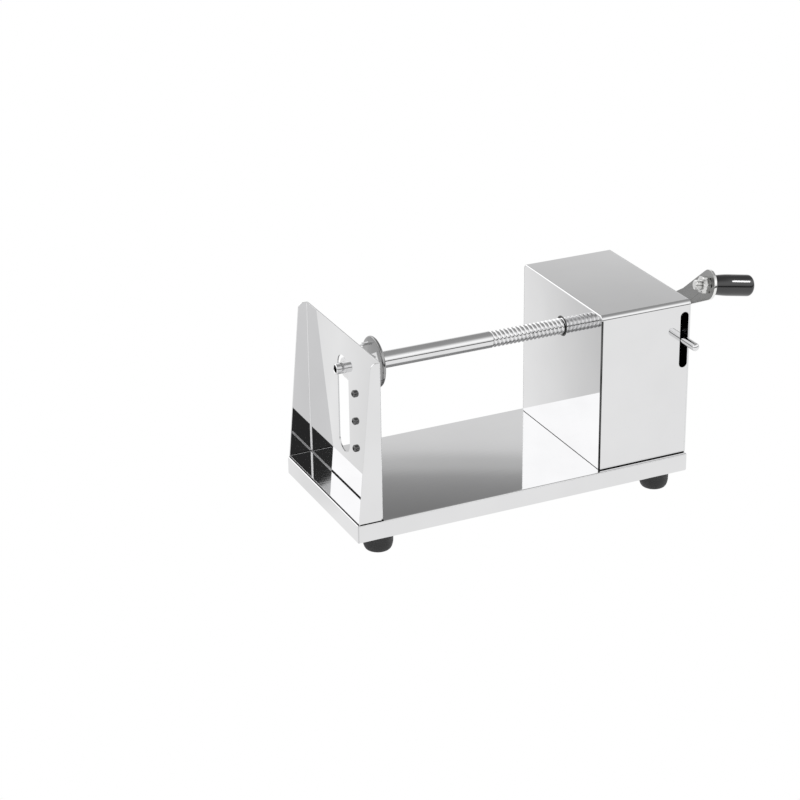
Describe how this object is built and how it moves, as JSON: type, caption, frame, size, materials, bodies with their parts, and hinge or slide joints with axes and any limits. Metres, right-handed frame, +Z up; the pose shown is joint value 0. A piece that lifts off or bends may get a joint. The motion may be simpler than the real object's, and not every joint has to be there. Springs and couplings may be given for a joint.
{
  "type": "tornado potato cutter",
  "caption": "Hand-cranked spiral slicer: steel tray on feet, slotted blade plate, boxed housing, threaded feed rod with pusher, release lever and crank grip.",
  "frame": {"origin": "on the feed rod's axis at the rear face of the blade plate", "axes": "+X along the feed rod towards the crank, +Z up, -Y to the side with the release pin"},
  "size_m": [0.3612, 0.1618, 0.188],
  "materials": {
    "mirror_steel": "mirror polished stainless sheet",
    "rod_steel": "polished stainless bar and tube",
    "blade_steel": "ground stainless strip",
    "bright_fasteners": "zinc plated screws, nuts and washers",
    "inner_steel": "plain steel plate inside the housing",
    "arm_steel": "satin steel flat bar",
    "bronze": "machined bronze",
    "spring_wire": "drawn spring wire",
    "black_rubber": "moulded black rubber",
    "black_nylon": "turned black nylon",
    "black_grip": "glossy black moulded plastic"
  },
  "bodies": {
    "frame": {"base_tray": "mirror_steel", "foot_front_near": "black_rubber", "foot_front_far": "black_rubber", "foot_rear_near": "black_rubber", "foot_rear_far": "black_rubber", "foot_screws": "bright_fasteners", "foot_nuts": "bright_fasteners", "blade_plate": "mirror_steel", "plate_flange_near": "mirror_steel", "plate_flange_far": "mirror_steel", "plate_foot": "mirror_steel", "cutting_blade": "blade_steel", "blade_screws": "bright_fasteners", "blade_nuts": "bright_fasteners", "guide_tube": "rod_steel", "housing_cover": "mirror_steel", "front_panel": "mirror_steel", "rear_panel": "mirror_steel", "nut_bracket": "inner_steel", "bracket_screws": "bright_fasteners", "bracket_nuts": "bright_fasteners", "rear_bush": "black_nylon", "lever_pivot": "bright_fasteners", "pivot_spacer": "inner_steel", "pivot_nut": "bright_fasteners", "return_spring": "spring_wire", "spring_post": "inner_steel"},
    "turning_bush": {"front_bush": "black_nylon"},
    "rod": {"push_tube": "rod_steel", "lead_screw": "rod_steel", "pusher_disc": "rod_steel", "pusher_prongs": "rod_steel", "arm_collar": "rod_steel", "crank_arm": "arm_steel", "hub_washer": "bright_fasteners", "hub_nut": "bright_fasteners", "grip_bolt": "bright_fasteners", "grip_nut": "bright_fasteners", "grip_washer": "bright_fasteners"},
    "grip": {"grip": "black_grip"},
    "lever": {"release_lever": "inner_steel", "half_nut": "bronze", "half_nut_screws": "bright_fasteners", "release_pin": "rod_steel"}
  },
  "joints": [
    {"name": "crank_turn", "type": "hinge", "parent": "frame", "child": "turning_bush", "pos_m": [0, 0, 0], "axis": [1, 0, 0], "range_deg": [-180, 12240]},
    {"name": "rod_feed", "type": "slide", "parent": "turning_bush", "child": "rod", "axis": [1, 0, 0], "range_m": [-0.002, 0.126]},
    {"name": "grip_spin", "type": "hinge", "parent": "rod", "child": "grip", "pos_m": [0.2989, -0.06403, 0.04095], "axis": [0.9839, -0.0963, -0.1506], "continuous": true},
    {"name": "release_lift", "type": "hinge", "parent": "frame", "child": "lever", "pos_m": [0.2742, 0.052, -0.0013], "axis": [-1, 0, 0], "range_deg": [0, 9], "stiffness_Nm_per_rad": 2, "springref_deg": -28.65, "deforming": ["return_spring"]}
  ],
  "couplings": [
    {"joint": "rod_feed", "follows": "crank_turn", "m_per_rad": 0.00058887}
  ]
}
